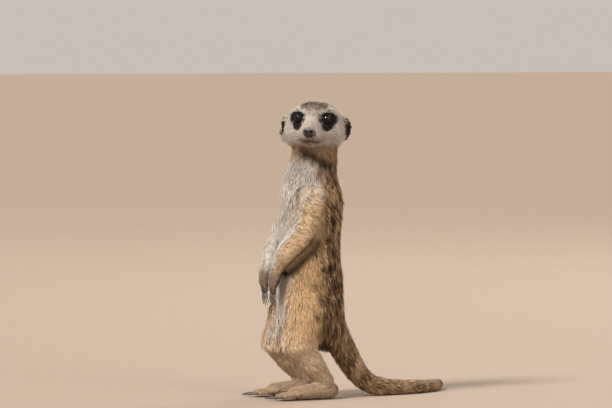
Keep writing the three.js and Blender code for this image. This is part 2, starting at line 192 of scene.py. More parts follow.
skin = remeshed("skin", merged_copy(flesh + ["eye_left", "eye_right"], SWELL), GRID)

# where each paw's claws begin, as the places nearest to its palm
FREE_DIGIT = dict(hand=8.5, foot=13.0)  # mm of free finger or toe
CAP_POINTS = 6  # points of a claw's solid that are taken as its root
PAWS = {}
for paw in ("hand_left", "hand_right", "foot_left", "foot_right"):
    palm, starts = points_of(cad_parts[paw].data).mean(0), []
    for i in range(1, 5):
        claw = points_of(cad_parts[f"claw_{paw}_{i}"].data)
        order = np.argsort(np.linalg.norm(claw - palm, axis=1))
        starts.append(claw[order[:CAP_POINTS]].mean(0))
    PAWS[paw] = palm, np.array(starts)

# the grid is halved on the head, to hold lids, lips and nostrils, and on fingers and toes
shape = bmesh.new()
shape.from_mesh(skin.data)
keep_largest(shape)
rows = np.array([v.co for v in shape.verts]) / MM
head_low, head_high = (np.array(end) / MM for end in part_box("head"))
finer = ((rows[:, 2] > head_low[2] + 4) & (rows[:, 1] < head_high[1] + 9)
         & (rows[:, 0] > head_low[0] - 8) & (rows[:, 0] < head_high[0] + 8))
for paw, (palm, starts) in PAWS.items():
    to_claw = np.min([np.linalg.norm(rows - start, axis=1) for start in starts], axis=0)
    finer |= to_claw < 0.85 * FREE_DIGIT[paw[:4]]
halved = [e for e in shape.edges if all(finer[v.index] for v in e.verts)]
bmesh.ops.subdivide_edges(shape, edges=halved, cuts=1, use_grid_fill=True)
bmesh.ops.triangulate(shape, faces=[f for f in shape.faces if len(f.verts) > 4])
shape.to_mesh(skin.data)
shape.free()
edges = edges_of(skin.data)
hide = points_of(skin.data)

# the solid nearest to each point, and how far a point belongs to each kind of part
solid_mesh = merged_copy(flesh, swell=0.0)
solid_owner = np.repeat([PART[n] for n in flesh],
                        [len(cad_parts[n].data.polygons) for n in flesh])
solids = BVHTree.FromPolygons([v.co for v in solid_mesh.vertices],
                              [p.vertices[:] for p in solid_mesh.polygons])
owner = np.array([solid_owner[solids.find_nearest(p)[2]] for p in hide * MM])
KINDS = ("head", "ear", "neck", "trunk", "upper_arm", "forearm", "hand",
         "thigh", "shank", "foot", "tail_base", "tail_middle", "tail_tip")


def owned_by(*starts):
    """Which points of the hide are nearest to solids whose names start so."""
    return np.isin(owner, [PART[n] for n in flesh if n.startswith(starts)])


belongs = np.stack([owned_by(k) for k in KINDS], 1).astype(float)
soft = relaxed(belongs, edges, 0.6, 30)
weight = {k: soft[:, i] for i, k in enumerate(KINDS)}
weight["ear"] = relaxed(belongs[:, 1:2], edges, 0.5, 2)[:, 0]  # the ears keep a crisp edge
total = sum(weight[k] for k in KINDS)

calm = np.where(owned_by("hand", "ear", "foot"), 0.15, 0.6)[:, None]  # thin parts keep their shape
hide = relaxed(hide, edges, calm, 6)

# the head's own frame: x to the animal's left, -y to its nose, z up
HEAD_AT = np.array([21.455, -51.865, 252.0])
turn, roll = np.radians(60), np.radians(2)
HEAD_AXES = (np.array([[np.cos(turn), -np.sin(turn), 0], [np.sin(turn), np.cos(turn), 0], [0, 0, 1]])
             @ np.array([[np.cos(roll), 0, np.sin(roll)], [0, 1, 0], [-np.sin(roll), 0, np.cos(roll)]]))


def in_head(rows):
    return (rows - HEAD_AT) @ HEAD_AXES


def from_head(rows):
    return np.asarray(rows) @ HEAD_AXES.T + HEAD_AT


def spans(face):
    """How far places lie aside from, ahead of and above the middle of the head."""
    return np.abs(face[:, 0]), -face[:, 1], face[:, 2]


# the hide goes in by the coat's depth, which is less on the muzzle and more on the crown
COAT_DEPTH = dict(head=1.5, ear=0.5, neck=4.2, trunk=4.8, upper_arm=2.9, forearm=2.0, hand=0.6,
                  thigh=5.0, shank=3.0, foot=0.9, tail_base=4.0, tail_middle=3.1, tail_tip=2.5)
aside, ahead, above = spans(in_head(hide))
muzzle = weight["head"] * ramp(ahead, 18, 34)
crown = weight["head"] * fall(ahead, -8, 14)
temple = weight["head"] * ramp(aside, 9, 16) * ramp(above, 7, 12)
depth = sum(weight[k] * COAT_DEPTH[k] for k in KINDS) / total
depth = depth - 0.8 * muzzle + crown + 0.5 + temple
place_points(skin.data, hide)
# fur fills a fold, so the hide comes up to the solids there
bulk = sum(weight[k] for k in ("trunk", "thigh", "shank", "neck", "tail_base"))
fold_depth = np.sum((relaxed(hide, edges, 0.6, 60) - hide) * normals_of(skin.data), 1)
filled = np.clip(bulk, 0, 1) * ramp(fold_depth, 0.3, 2.2)
inward = depth * (1 - filled) - 0.6 * filled * np.clip(fold_depth, 0, 4)
hide = hide - normals_of(skin.data) * inward[:, None]
hide = relaxed(hide, edges, calm * 0.5, 4)

# the furrows between fingers and between toes, which fan out towards the claws
SPLAY = 0.113  # mm that the digits part for each mm outwards
furrow = np.zeros(len(hide))
for paw, (palm, starts) in PAWS.items():
    free, middle = FREE_DIGIT[paw[:4]], starts.mean(0)
    across = unit(starts[3] - starts[0])
    onward = middle - palm
    onward = unit(onward - across * (onward @ across))
    off_middle, run_out = (hide - middle) @ across, (hide - middle) @ onward
    spacing = np.linalg.norm(starts[3] - starts[0]) / 3 + SPLAY * run_out
    to_gap = np.min([np.abs(off_middle - k * spacing) for k in (-1, 0, 1)], axis=0)
    near_gap = hump(to_gap, 0.24 * spacing) * ramp(run_out, -free, -0.5 * free)
    furrow = np.where(owner == PART[paw], near_gap, furrow)

# lids stand round each eyeball, and their slit is wider than it is high
EYES = {s: np.array([s * 12.6, -16.1, 8.2]) for s in (1, -1)}  # 1 on the left, -1 on the right
GAZE = {s: unit(np.array([s * 0.50, -0.86, 0.06])) for s in (1, -1)}
BALL = 5.0  # mm from the eyeball's middle to its surface
LID_ASIDE, LID_ABOVE, LID_BELOW = 0.80, 0.46, 0.56  # the slit's reach, as shares of that
LID_TILT = 0.10  # how far the slit slants


def eye_axes(s):
    """The ways aside, up and ahead as an eye looks."""
    side = unit(np.cross(GAZE[s], [0, 0, 1]))
    return side, np.cross(side, GAZE[s]), GAZE[s]


face = in_head(hide)
for s, eye in EYES.items():
    out = face - eye
    far, way = np.linalg.norm(out, axis=1), unit(out)
    u, v, w = (way @ axis for axis in eye_axes(s))
    u = u - LID_TILT * v * s
    ring = np.sqrt((u / LID_ASIDE) ** 2 + (v / np.where(v > 0, LID_ABOVE, LID_BELOW)) ** 2)
    lid = ramp(ring, 0.94, 1.04)
    rim = BALL + 0.55 - 0.9 * ramp(ring, 1.5, 1.9)
    target = (BALL - 1.6) * (1 - lid) + rim * lid
    hold = np.where((w > 0) & (far < 11), 1 - ramp(ring, 1.15, 1.75), 0)
    moved = eye + way * (far + (target - far) * hold)[:, None]
    face = np.where(hold[:, None] > 0, moved, face)


def lip_line_at(aside):
    """Height of the mouth line at a distance from the face's middle."""
    return -12.4 + 0.9 * np.cos(np.clip(aside, 0, 14) * 0.55) * np.exp(-aside / 5)


aside, ahead, above = spans(face)
slit = hump(above - lip_line_at(aside), 0.55) * ramp(ahead, 17, 22) * weight["head"]
groove = (hump(aside, 0.6) * ramp(ahead, 36, 38) * fall(above, -6.5, -5)
          * (1 - fall(above, -11.5, -10.5)) * weight["head"])
hide = from_head(face)
place_points(skin.data, hide)
hide = hide - normals_of(skin.data) * (0.9 * slit + 0.5 * groove + 0.7 * furrow)[:, None]
place_points(skin.data, hide)
skin_normal = normals_of(skin.data)


def linear(code):
    """An sRGB hex colour as linear light."""
    c = np.array([int(code[i:i + 2], 16) for i in (1, 3, 5)]) / 255
    return np.where(c <= 0.04045, c / 12.92, ((c + 0.055) / 1.055) ** 2.4)


# ---- markings, shared by the hide and the coat that grows on it
AXIS = np.array([16.855, -53.865, 0.0])  # the body stands over this point of the floor
SHOULDER = [0, -4, 187]  # mm from that point to the middle of the shoulders
body = hide - AXIS
leftward, backward, height = body.T
round_body = np.degrees(np.arctan2(np.abs(leftward), -(backward + 2)))  # 0 chest, 180 spine
face = in_head(hide)
aside, ahead, above = spans(face)


def wobble(rows, size, seed):
    """Smooth noise of about -1 to 1 whose lumps are some mm across."""
    rng = np.random.default_rng(seed)
    waves = np.zeros(len(rows))
    for _ in range(14):
        wave = unit(rng.normal(size=3)) * (2 * np.pi / size) * rng.uniform(0.6, 1.4)
        waves += np.sin(rows @ wave + rng.uniform(0, 6.3))
    return waves / 3.4


def even(code, rows):
    """One hex colour for every row."""
    return np.tile(linear(code), (len(rows), 1))


def painted(colour, *layers):
    """The colour with others laid over it, each given as a hex colour and its amount."""
    for code, amount in layers:
        amount = np.clip(amount, 0, 1)[:, None]
        colour = colour * (1 - amount) + linear(code) * amount
    return colour


def tree_of(points):
    """A tree of places, to find the nearest one in."""
    tree = kdtree.KDTree(len(points))
    for i, p in enumerate(points):
        tree.insert(p, i)
    tree.balance()
    return tree


rough, fine = wobble(hide, 16, 1), wobble(hide, 6, 2)
mottled = round_body + 10 * rough + 6 * fine

# trunk: pale front, tan flanks, brown back with dark bands, and painted shade in the folds of fur at the
# shoulder
BAND_STEP = 14.5  # mm from one band of the back to the next
low = 1 - ramp(height, 95, 130)
flank = ramp(round_body + 5 * rough + 3 * fine - 32 + 8 * low, -8, 18) * fall(height, 170, 206)
back_edge = 78 + 9 * ramp(height, 110, 150)
back = ramp(round_body + 6 * rough + 4 * fine - back_edge, -4, 20) * fall(height, 196, 226)
back = np.maximum(back, ramp(round_body + 8 * rough, 96, 132) * ramp(height, 180, 200))
stripe = np.sin(2 * np.pi * (height + 2.2 * rough) / BAND_STEP)
bands = (ramp(stripe, -0.25, 0.45) * ramp(round_body + 10 * fine, 88 - 14 * low, 110 - 14 * low)
         * ramp(height, 52, 66) * fall(height, 140, 172))
from_shoulder = body - SHOULDER
shoulder_gap = np.linalg.norm(from_shoulder * [0, 1, 1], axis=1)
# painted shade in the folds of fur round the front of the shoulder
shoulder_fold_shade = np.sin(2 * np.pi * (shoulder_gap + fine) / 6.0)
shoulder_fold_shade = (ramp(shoulder_fold_shade, 0.1, 0.9) * ramp(shoulder_gap, 9, 13) * fall(shoulder_gap, 21, 27)
        * fall(backward, -12, -6) * ramp(np.abs(leftward), 6, 12)
        * fall(height, 192, 200) * ramp(height, 164, 172))
torso = painted(even("#d5cdc4", hide),
                ("#e6ddd0", 0.85 * fall(height, 85, 125)),
                ("#cfab80", flank),
                ("#a07b56", back),
                ("#1f1108", bands * (0.65 + 0.35 * ramp(fine, -0.7, 0.3))),
                ("#43372e", 0.95 * shoulder_fold_shade))

# neck: pale throat, brown nape, painted shade in the creases, and a painted shadow below the jaw where the
# turned head folds the fur
# painted shade in the creases of the neck's fur
neck_crease_shade = np.sin(2 * np.pi * (height - 0.25 * leftward + 1.2 * fine) / 6.5)
neck_crease_shade = (ramp(neck_crease_shade, 0.2, 0.9) * ramp(height, 196, 202) * fall(height, 214, 222)
          * fall(round_body, 60, 100))
across_chest = 0.391 * leftward + 0.921 * backward
# a painted shadow of the head on the neck, below a slanting edge under the jaw, with a darker core
shadow_edge_gap = height + 0.75 * across_chest + 1.5 * fine - 223.5
jaw_shadow = (ramp(shadow_edge_gap, -5, 0) * (1 - 0.8 * ramp(shadow_edge_gap, 4, 11)) * ramp(across_chest, -13, -9)
             * ramp(height, 196, 204))
jaw_shadow_core = np.exp(-((across_chest + 3.5) / 5.5) ** 2 - ((height - 226 + 0.8 * fine) / 4.5) ** 2)
jaw_shadow = np.maximum(jaw_shadow, 1.1 * jaw_shadow_core)
neck_colour = painted(torso,
                      ("#d8d1c9", 1 - ramp(mottled, 62, 108)),
                      ("#94765c", ramp(mottled, 84, 136)),
                      ("#6b5d50", 0.6 * neck_crease_shade),
                      ("#b08a62", 0.75 * ramp(height + 1.5 * fine, 214, 226)),
                      ("#1c120c", 0.95 * jaw_shadow * ramp(leftward - 0.8 * backward, -8, 6)))

# painted shade in the cleft where the arm lies on the flank
limb = owned_by("upper_arm", "forearm")
arm_tree = tree_of(hide[limb])
arm_cleft_shade = np.zeros(len(hide))
for i in np.flatnonzero(~limb & (height > 96) & (height < 178)):
    spot, _, gap = arm_tree.find(hide[i])
    if gap < 12:
        way = (hide[i] - np.array(spot)) / max(gap, 0.5)
        arm_cleft_shade[i] = (1 - ramp(gap, 6.5, 11.0)) * ramp(0.6 * way[1] - 0.8 * way[2], -0.2, 0.4)
arm_cleft_shade = relaxed(arm_cleft_shade[:, None], edges, 0.5, 3)[:, 0] * fall(height, 140, 154)
# painted shade in the neck's creases and in the cleft under the arm
torso = painted(torso, ("#6b5d50", 0.6 * neck_crease_shade), ("#1e120a", 0.97 * ramp(arm_cleft_shade, 0, 0.6)))

# limbs and tail: tan outside, pale inside, painted shade on the undersides of the arms and in the furrows
# between fingers and between toes, dark on the hind sides of the hands and under the feet, and a black end
# to the tail
facing_out = skin_normal[:, 0] * np.sign(leftward) + 0.35 * skin_normal[:, 1] + 0.1 * fine
outer = ramp(facing_out, -0.15, 0.35)
# painted shade on the arms' undersides, where they face back and down
arm_underside_shade = ramp(skin_normal[:, 1] - 0.5 * skin_normal[:, 2], 0.42, 0.80) * fall(height, 146, 158)
arm_colour = painted(even("#d8cfc4", hide),
                     ("#cfae88", outer * fall(height + 2 * fine, 176, 206)),
                     ("#1f120a", 0.95 * arm_underside_shade * outer))
dark_hand = 0.85 * ramp(skin_normal[:, 1] + 0.2 * fine, 0.0, 0.6) + 0.5 * fall(height, 100, 106)
# painted shade in the furrows between the fingers
hand_colour = painted(even("#8f7b6c", hide), ("#33261e", dark_hand), ("#1d1510", 0.85 * furrow))
tan_shank = 0.85 * fall(height, 34, 66) * (0.35 + 0.65 * ramp(round_body + 8 * fine, 10, 60))
shank_colour = painted(torso, ("#dfc4a3", tan_shank))
# painted shade in the furrows between the toes
foot_colour = painted(even("#b89c7e", hide),
                      ("#4a3527", 0.85 * furrow), ("#2c221c", fall(height, 1.6, 2.6)))
tail_run = np.hypot(leftward - 5, backward - 60)
tail_colour = painted(even("#b08c66", hide),
                      ("#7d5e44", 0.5 * ramp(fine, -0.3, 0.8)),
                      ("#1a1210", ramp(tail_run + 2 * fine, 96, 104) * (weight["tail_tip"] > 0.5)))

# head: dark round the eyes and on the crown, brown nape, and tan below the jaw, partly the fur's own
# colour and partly painted shade
to_back = ahead - 2 * fine
nape = np.maximum(fall(to_back, -12, -2) * ramp(above, -2, 6), fall(to_back, -18, -12))
dark_crown = (ramp(above + 1.2 * fine, 14.8, 18.5) * (1 - ramp(aside + 1.5 * fine, 10.5, 15))
              * (1 - 0.75 * fall(to_back, -14, 2)))
eye_patch = 1 - ramp(np.hypot((aside - 13.6) / 8.6, (above - 7.8) / 7.0) + 0.05 * fine, 0.84, 1.04)
below_eye = 1 - ramp(np.hypot((aside - 13.2) / 5.0, (above - 1.8) / 5.6) + 0.05 * fine, 0.80, 1.06)
eye_patch = np.maximum(eye_patch, below_eye) * ramp(ahead, 6, 12)
mouth = hump(above - lip_line_at(aside), 1.0) * ramp(ahead, 20, 27) * fall(aside, 6, 11)
head_colour = painted(
    even("#c4bbb0", hide),
    ("#8f7257", 0.9 * nape),
    ("#382014", 0.97 * dark_crown),
    ("#8a7565", 0.5 * (1 - ramp(aside, 4, 7)) * ramp(above, 8, 13) * ramp(ahead, 8, 16)),
    # tan below the jaw: partly the fur's own colour, partly painted shade
    ("#a07a58", 0.85 * fall(above, -18, -13.5) * fall(ahead, 20, 32)),
    ("#b3a091", 0.55 * ramp(ahead, 30, 37) * ramp(above, -9, -5)),
    ("#6b4e3b", 0.5 * ramp(ahead, 20, 31) * hump(above + 12.4 + 0.5 * fine, 3.2)),
    ("#8a6c58", 0.6 * ramp(ahead, 33, 40) * hump(aside, 5) * fall(above, -8, -6)),
    ("#1b1513", eye_patch),
    ("#22140e", np.maximum(slit ** 2 * 0.95, 0.7 * mouth)))

by_kind = dict(head=head_colour, ear=even("#1d1512", hide), neck=neck_colour, trunk=torso,
               upper_arm=arm_colour, forearm=arm_colour, hand=hand_colour, thigh=torso,
               shank=shank_colour, foot=foot_colour, tail_base=tail_colour,
               tail_middle=tail_colour, tail_tip=tail_colour)
colour = sum(weight[k][:, None] * by_kind[k] for k in KINDS) / total[:, None]

# how much pale and dark hairs are mixed
on_back = (0.95 - 0.15 * fall(height, 160, 180) - 0.2 * ramp(height, 165, 190)
           - 0.45 * ramp(height, 205, 225))
grizzle = (0.04 + 0.08 * weight["head"] + 0.16 * ramp(round_body, 36, 56)
           + on_back * back * (weight["trunk"] + weight["neck"] + weight["thigh"])
           + 0.6 * weight["tail_base"] + 0.5 * weight["tail_middle"]
           + (0.18 * dark_crown + 0.45 * nape) * weight["head"]
           + 0.25 * outer * (weight["upper_arm"] + weight["forearm"])
           - 0.6 * bands - eye_patch * weight["head"])
grizzle = np.clip(grizzle, 0, 1)


def add_colour(mesh, name, rows):
    """Stores a colour for each point, as an attribute that a material reads."""
    layer = mesh.color_attributes.new(name, "FLOAT_COLOR", "POINT")
    opaque = np.column_stack([rows, np.ones(len(rows))])
    layer.data.foreach_set("color", opaque.astype(np.float32).ravel())


def smooth(mesh):
    mesh.polygons.foreach_set("use_smooth", np.ones(len(mesh.polygons), bool))


def node(tree, kind, settings=(), **inputs):
    """Adds a node, sets its properties, and fills its sockets with values or links."""
    made = tree.nodes.new(kind)
    for key, value in dict(settings).items():
        setattr(made, key, value)
    for key, value in inputs.items():
        socket = made.inputs[int(key[1:])] if key[0] == "_" else made.inputs[key.replace("_", " ")]
        if isinstance(value, bpy.types.NodeSocket):
            tree.links.new(value, socket)
        else:
            socket.default_value = value
    return made


def finish_of(name):
    """An empty material, its tree and its output node."""
    made = bpy.data.materials.new(name)
    made.use_nodes = True
    made.node_tree.nodes.clear()
    return made, made.node_tree, made.node_tree.nodes.new("ShaderNodeOutputMaterial")


# hide under the coat: soft and dull, with the grain of short flat hair about 1.1 mm apart
hide_finish, tree, end = finish_of("short_haired_hide")
spot = node(tree, "ShaderNodeTexCoord")
stain = node(tree, "ShaderNodeVertexColor", {"layer_name": "coat"})
grain = node(tree, "ShaderNodeTexNoise", _0=spot.outputs["Object"], Scale=900.0, Detail=3.0)
shade = node(tree, "ShaderNodeMapRange", _0=grain.outputs[0], _1=0.3, _2=0.7, _3=0.45, _4=0.85)
dim = node(tree, "ShaderNodeVectorMath", {"operation": "SCALE"}, _0=stain.outputs[0],
           Scale=shade.outputs[0])
bump = node(tree, "ShaderNodeBump", Strength=0.5, Distance=0.0004, Height=grain.outputs[0])
surface = node(tree, "ShaderNodeBsdfPrincipled", Base_Color=dim.outputs[0], Roughness=0.85,
               Specular_IOR_Level=0.25, Normal=bump.outputs[0])
tree.links.new(surface.outputs[0], end.inputs[0])

# it is darker than the coat that stands on it, and less so on hands and feet
paw_share = (weight["foot"] + weight["hand"]).clip(0, 1)
add_colour(skin.data, "coat", colour * (0.65 + 0.2 * paw_share)[:, None])
smooth(skin.data)
skin.data.materials.clear()
skin.data.materials.append(hide_finish)
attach(skin, "root")
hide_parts(*flesh)

# ---------------------------------------------------------------- Eyes
# Wet balls with a very dark brown iris and a pupil wider than it is high, each
# from one sphere that bulges at the cornea, set behind the lids.
# eye: glossy with tears, its colours in rings round the way it looks
eye_finish, tree, end = finish_of("wet_dark_eye")
stain = node(tree, "ShaderNodeVertexColor", {"layer_name": "iris"})
surface = node(tree, "ShaderNodeBsdfPrincipled", Base_Color=stain.outputs[0], Roughness=0.05,
               IOR=1.33)
tree.links.new(surface.outputs[0], end.inputs[0])
for s, name in ((1, "eye_left"), (-1, "eye_right")):
    ball = bpy.data.meshes.new(name + "_ball")
    shape = bmesh.new()
    bmesh.ops.create_uvsphere(shape, u_segments=56, v_segments=40, radius=1.0)
    shape.to_mesh(ball)
    shape.free()
    rows = points_of(ball) * MM
    x, y, z = rows.T
    in_front = z > 0
    pupil = 1 - ramp(np.hypot(x / 0.46, y / 0.36), 0.85, 1.1)
    iris = painted(np.zeros((len(rows), 3)),
                   ("#20130b", in_front.astype(float)),
                   ("#0b0706", ramp(np.hypot(x, y), 0.55, 0.75) * in_front),
                   ("#030303", pupil * in_front))
    rows = rows * (BALL - 0.1) * (1 + 0.05 * ramp(z, 0.72, 0.95))[:, None]
    side, up, gaze = eye_axes(s)
    place_points(ball, from_head(EYES[s] + rows[:, :1] * side + rows[:, 1:2] * up + rows[:, 2:] * gaze))
    add_colour(ball, "iris", iris)
    smooth(ball)
    ball.materials.append(eye_finish)
    eyeball = bpy.data.objects.new(name + "_ball", ball)
    scene.collection.objects.link(eyeball)
    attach(eyeball, "root")
    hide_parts(name)

# ---------------------------------------------------------------- Nose
# The bare pad of the nose, pebbled dark leather with two nostrils and a
# groove between them, from a fine remesh of its solid.
nose = remeshed("nose_pad", merged_copy(["nose"], 0.1), 0.3)
pad = relaxed(points_of(nose.data), edges_of(nose.data), 0.5, 8)
place_points(nose.data, pad)
x, y, z = in_head(pad).T
in_front = ramp(-y, 44.5, 46.5)
middle_groove = hump(x, 0.5) * in_front * ramp(-z, 1.5, 4)
hole = sum(np.exp(-((x - s * 2.5) / 1.1) ** 2 - ((z + 3.9 + 0.25 * (x * s - 2.5)) / 0.95) ** 2)
           for s in (1, -1)) * in_front
wing = sum(np.exp(-((x - s * 2.6) / 2.2) ** 2 - ((z + 3.6) / 2.0) ** 2) for s in (1, -1)) - 1.3 * hole
raised = 0.35 * wing - 0.5 * middle_groove - 1.1 * hole
place_points(nose.data, pad + normals_of(nose.data) * raised[:, None])
# dark leather, paler grey on top as partly its own grey and partly a painted highlight, browner at the
# rim, and painted shade in the nostrils
add_colour(nose.data, "tone", painted(even("#211a18", pad),
                                      ("#787374", 0.8 * ramp(z, -2.2, -0.2)),
                                      ("#6d5750", 0.5 * ramp(np.abs(x), 3.4, 4.8)),
                                      ("#040303", 1.3 * hole)))

# leather with pebbles about 0.45 mm across and a slight wet shine
nose_finish, tree, end = finish_of("bare_nose_leather")
spot = node(tree, "ShaderNodeTexCoord")
stain = node(tree, "ShaderNodeVertexColor", {"layer_name": "tone"})
pebble = node(tree, "ShaderNodeTexVoronoi", _0=spot.outputs["Object"], Scale=2200.0)
bump = node(tree, "ShaderNodeBump", Strength=0.35, Distance=0.00012, Height=pebble.outputs[0])
surface = node(tree, "ShaderNodeBsdfPrincipled", Base_Color=stain.outputs[0], Roughness=0.38,
               Normal=bump.outputs[0])
tree.links.new(surface.outputs[0], end.inputs[0])
nose.data.materials.clear()
nose.data.materials.append(nose_finish)
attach(nose, "root")
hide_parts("nose")

# ---------------------------------------------------------------- Claws
# Sixteen long digging claws of smooth dark horn, one piece for each hand and
# foot, from their solids rounded by subdivision.


def mottling(tree, size, detail, dark, pale):
    """Noise between two hex colours in the object's own space, as a colour socket."""
    spot = node(tree, "ShaderNodeTexCoord")
    grain = node(tree, "ShaderNodeTexNoise", _0=spot.outputs["Object"], Scale=size, Detail=detail)
    mix = node(tree, "ShaderNodeMix", {"data_type": "RGBA"}, Factor=grain.outputs[0],
               _6=(*linear(dark), 1), _7=(*linear(pale), 1))
    return mix.outputs[2]


# horn: dark brown and grey streaks about 1.7 mm across, polished by digging
claw_finish, tree, end = finish_of("polished_dark_horn")
horn = mottling(tree, 600.0, 2.0, "#2b2624", "#6a6663")
surface = node(tree, "ShaderNodeBsdfPrincipled", Base_Color=horn, Roughness=0.3)
tree.links.new(surface.outputs[0], end.inputs[0])
for paw in PAWS:
    names = [f"claw_{paw}_{i}" for i in range(1, 5)]
    claws = bpy.data.objects.new(f"claws_{paw}", merged_copy(names, 0.08))
    scene.collection.objects.link(claws)
    rounder = claws.modifiers.new("round", "SUBSURF")
    rounder.levels = rounder.render_levels = 1
    applied(claws)
    smooth(claws.data)
    claws.data.materials.clear()
    claws.data.materials.append(claw_finish)
    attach(claws, "root")
    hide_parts(*names)

# ---------------------------------------------------------------- Coat
# Thin pointed tufts of hair, each a closed three-sided spike of ten faces,
# rooted in the hide and laid along it in overlapping locks, part by part.
skin.data.calc_loop_triangles()
corner = np.empty(len(skin.data.loop_triangles) * 3, int)
skin.data.loop_triangles.foreach_get("vertices", corner)
corner = corner.reshape(-1, 3)
a, b, c = (hide[corner[:, i]] for i in range(3))
area = np.linalg.norm(np.cross(b - a, c - a), axis=1) / 2
hide_tree = BVHTree.FromPolygons([Vector(p) for p in hide], corner.tolist())


def share(parts):
    """A value for each point of the hide from its values on the body's parts."""
    return sum(weight[k] * parts.get(k, 0.0) for k in KINDS) / total


# which way the hair lies
TAIL_LINE = np.array([[0, 19, 70], [0, 43, 27], [0, 59, 11], [-9, 105, 6.5], [-25, 132, 5.7],
                      [-50, 152, 4.9], [-77, 161, 4.1]]) + AXIS
along = unit(np.gradient(TAIL_LINE, axis=0))
nearest = np.argmin(np.linalg.norm(hide[:, None] - TAIL_LINE[None], axis=2), axis=1)
down = np.array([0, 0, -1.0])
outward = np.column_stack([np.sign(leftward), np.zeros((len(body), 2))])
from_nose = unit(face - np.array([0, -50, -1.0])) @ HEAD_AXES.T + down * fall(ahead, -16, 2)[:, None]
ear_lie = unit(np.column_stack([np.sign(face[:, 0]) * 0.8, np.full(len(face), 0.3), 0.6 * np.sign(above)]))
# hair on the chest sweeps round the front of each shoulder
round_shoulder = unit(np.column_stack([np.zeros(len(body)), -from_shoulder[:, 2], from_shoulder[:, 1]]))
sweep = (ramp(shoulder_gap, 6, 10) * fall(shoulder_gap, 22, 34) * fall(backward, -11, -5))[:, None]
lie = dict(head=from_nose, ear=ear_lie @ HEAD_AXES.T, neck=down + outward * 0.1,
           trunk=(down + [0, 0.12, 0]) * (1 - 0.75 * sweep) + round_shoulder * 0.75 * sweep,
           upper_arm=[0, 0.82, -0.55], forearm=[0, 0.88, -0.45], hand=[0, -0.25, -1],
           thigh=[0, 0.22, -1], shank=[0, 0.6, -0.8], foot=[0, -1, -0.2],
           tail_base=along[nearest], tail_middle=along[nearest], tail_tip=along[nearest])
flow = unit(sum(weight[k][:, None] * np.broadcast_to(lie[k], hide.shape) for k in KINDS))

# how long and wide its tufts are, and how far they stand from the hide, in mm
face_run = fall(ahead, -6, 42)  # 0 at the nose, 1 at the ears
eye_gap = np.min([np.linalg.norm(face - e, axis=1) for e in EYES.values()], axis=0)
long_hair = share(dict(ear=1.8, neck=9.5, trunk=12.5, upper_arm=8, forearm=6.5, hand=2.6,
                       thigh=15, shank=8.5, foot=3.0, tail_base=11, tail_middle=9, tail_tip=8.5))
long_hair += weight["head"] / total * (1.7 + 5.6 * face_run) * (0.45 + 0.55 * ramp(eye_gap, 6, 12))
long_hair *= 1 - 0.45 * weight["head"] * ramp(above, 3, 11)
stand = depth * (1 - 0.35 * weight["head"] * ramp(above, 4, 12) * ramp(aside, 6, 11))
# the cheeks are fluffy low down, most of all on the side that the turned head pushes forward
cheek = (weight["head"] * (1 - ramp(weight["ear"], 0.02, 0.2)) * fall(above, -12, -5)
         * ramp(aside, 13, 20) * fall(ahead, 16, 26) * np.where(face[:, 0] < 0, 1.0, 0.2))
throat_side = weight["neck"] * fall(across_chest, -14, -8) * ramp(height, 196, 212)
stand = stand * (1 - 0.6 * furrow) * (1 + 0.8 * cheek + 0.5 * throat_side)
long_hair *= 1 + 0.25 * cheek
long_hair *= 1 - 0.3 * furrow
half_width = share(dict(ear=0.20, neck=0.26, trunk=0.30, upper_arm=0.26, forearm=0.24, hand=0.22,
                        thigh=0.32, shank=0.30, foot=0.26, tail_base=0.30, tail_middle=0.28,
                        tail_tip=0.26))
half_width += weight["head"] / total * (0.17 + 0.09 * face_run)

# how thick it grows: soles, lips, nose pad and eyes are bare
LAYERS = 5.0  # how many tufts lie over any spot
thick = LAYERS / (long_hair * half_width * 2 * 0.6)
thick *= 1 - 0.999 * fall(height, 2.0, 3.2) * fall(skin_normal[:, 2], -0.7, -0.3)
thick *= 1 - 0.85 * np.clip(mouth, 0, 1) * weight["head"]
nose_at = in_head(points_of(nose.data)).mean(0)
thick *= ramp(np.linalg.norm((face - nose_at) / [6.2, 5.0, 5.0], axis=1), 0.95, 1.0)
for s, eye in EYES.items():
    out = face - eye
    thick *= 1 - (np.linalg.norm(out, axis=1) < BALL + 0.9) * (out @ GAZE[s] > 0)
soft_normal = unit(relaxed(skin_normal, edges, calm, 25))
rng = np.random.default_rng(7)


def over(values, tri=slice(None)):
    """The mean of the hide's values over each triangle, or over some of them."""
    return values[corner[tri]].mean(1)


def at(values, tri, bary):
    """The hide's values at places given by triangle and shares of its corners."""
    return np.einsum("ij,ij...->i...", bary, values[corner[tri]])


def roots(where, count):
    """Random places on some of the hide's triangles, as triangles and shares of their corners."""
    want = np.where(where, area * over(thick), 0)
    tri = rng.choice(len(area), count, p=want / want.sum())
    u, v = rng.random(count), rng.random(count)
    beyond = u + v > 1
    u[beyond], v[beyond] = 1 - u[beyond], 1 - v[beyond]
    return tri, np.column_stack([1 - u - v, u, v])


def pressed(points, lift):
    """The nearest places on the hide, raised along it by some mm, and their triangles."""
    spot, way, tri = np.empty_like(points), np.empty_like(points), np.empty(len(points), int)
    for i, p in enumerate(points):
        spot[i], way[i], tri[i], _ = hide_tree.find_nearest(p)
    return spot + way * lift[:, None], tri


